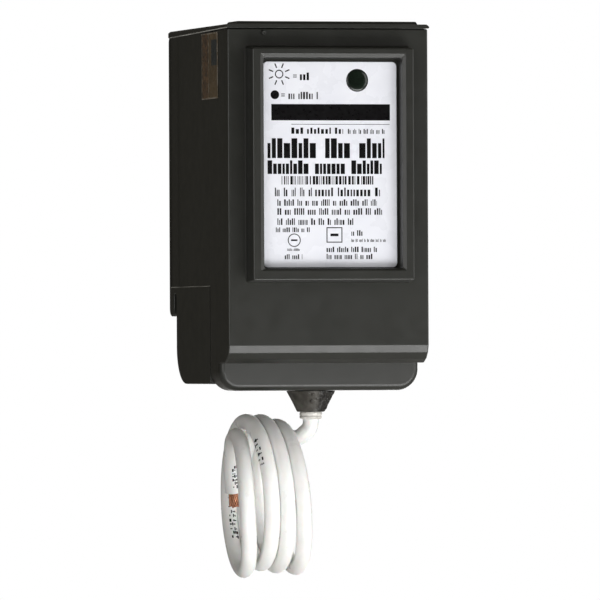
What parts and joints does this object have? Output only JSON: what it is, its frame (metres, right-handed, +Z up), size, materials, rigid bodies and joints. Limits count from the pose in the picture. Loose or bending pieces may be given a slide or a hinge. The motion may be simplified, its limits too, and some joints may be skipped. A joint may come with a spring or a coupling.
{
  "type": "whole house surge protector",
  "caption": "Plug-on breaker-style surge protector module with a recessed face label, a round status lens, rear bus jaws, a rail hook and a coiled white neutral lead.",
  "frame": {"origin": "centre of the flat rear face, where the module lies against the panel's pan", "axes": "+Z up towards the line end with the bus jaws, +Y out of the rear face, +X across the pole spaces, so the label faces -Y"},
  "size_m": [0.0516, 0.0676, 0.1351],
  "materials": {
    "black_housing": "fine moulded satin black",
    "tinned_copper": "dull tin plate",
    "spring_steel": "bright zinc",
    "bare_copper": "bare copper",
    "brass": "machined",
    "varistor_coating": "dipped epoxy",
    "white_insulation": "smooth extruded insulation",
    "circuit_laminate": "solder mask",
    "resistor_body": "lacquered",
    "small_part_black": "moulded",
    "capacitor_sleeve": "shrunk sleeve",
    "fibre_barrier": "vulcanised fibre",
    "boot_compound": "rough potting compound",
    "label_face": "printed film",
    "lens_green": "dark tinted lens",
    "led_green": "tinted epoxy",
    "seal_film": "translucent tape"
  },
  "bodies": {
    "root": {"arm_bracket_left": "brass", "arm_bracket_right": "brass", "arm_pin_left": "spring_steel", "arm_pin_right": "spring_steel", "arm_spring_left": "spring_steel", "arm_spring_right": "spring_steel", "cable_boot": "boot_compound", "case_screw_left_low": "spring_steel", "case_screw_left_top": "spring_steel", "case_screw_right_low": "spring_steel", "case_screw_right_top": "spring_steel", "circuit_board": "circuit_laminate", "conductor_end": "bare_copper", "dropper_resistor_left": "resistor_body", "dropper_resistor_right": "resistor_body", "filter_capacitor": "capacitor_sleeve", "front_cover": "black_housing", "indicator_diode": "small_part_black", "inner_neutral_lead": "white_insulation", "jaw_spring_left": "spring_steel", "jaw_spring_right": "spring_steel", "label_plate": "label_face", "lead_collar": "white_insulation", "led_resistor": "resistor_body", "line_jaw_left": "tinned_copper", "line_jaw_right": "tinned_copper", "line_strap_left": "bare_copper", "line_strap_right": "bare_copper", "neutral_bus": "bare_copper", "neutral_coil": "white_insulation", "neutral_lead": "white_insulation", "neutral_tail": "white_insulation", "neutral_terminal": "brass", "phase_barrier": "fibre_barrier", "rear_case": "black_housing", "status_led": "led_green", "status_lens": "lens_green", "tamper_seal": "seal_film", "terminal_screw": "spring_steel", "varistor_lead_left": "tinned_copper", "varistor_lead_right": "tinned_copper", "varistor_left": "varistor_coating", "varistor_right": "varistor_coating", "varistor_tab_left": "tinned_copper", "varistor_tab_right": "tinned_copper"},
    "disconnect_left": {"disconnect_arm_left": "bare_copper"},
    "disconnect_right": {"disconnect_arm_right": "bare_copper"}
  },
  "joints": [
    {"name": "disconnect_left_swing", "type": "hinge", "parent": "root", "child": "disconnect_left", "pos_m": [-0.0127, -0.02, 0.02], "axis": [1, 0, 0], "range_deg": [0, 25]},
    {"name": "disconnect_right_swing", "type": "hinge", "parent": "root", "child": "disconnect_right", "pos_m": [0.0127, -0.02, 0.02], "axis": [1, 0, 0], "range_deg": [0, 25]}
  ]
}
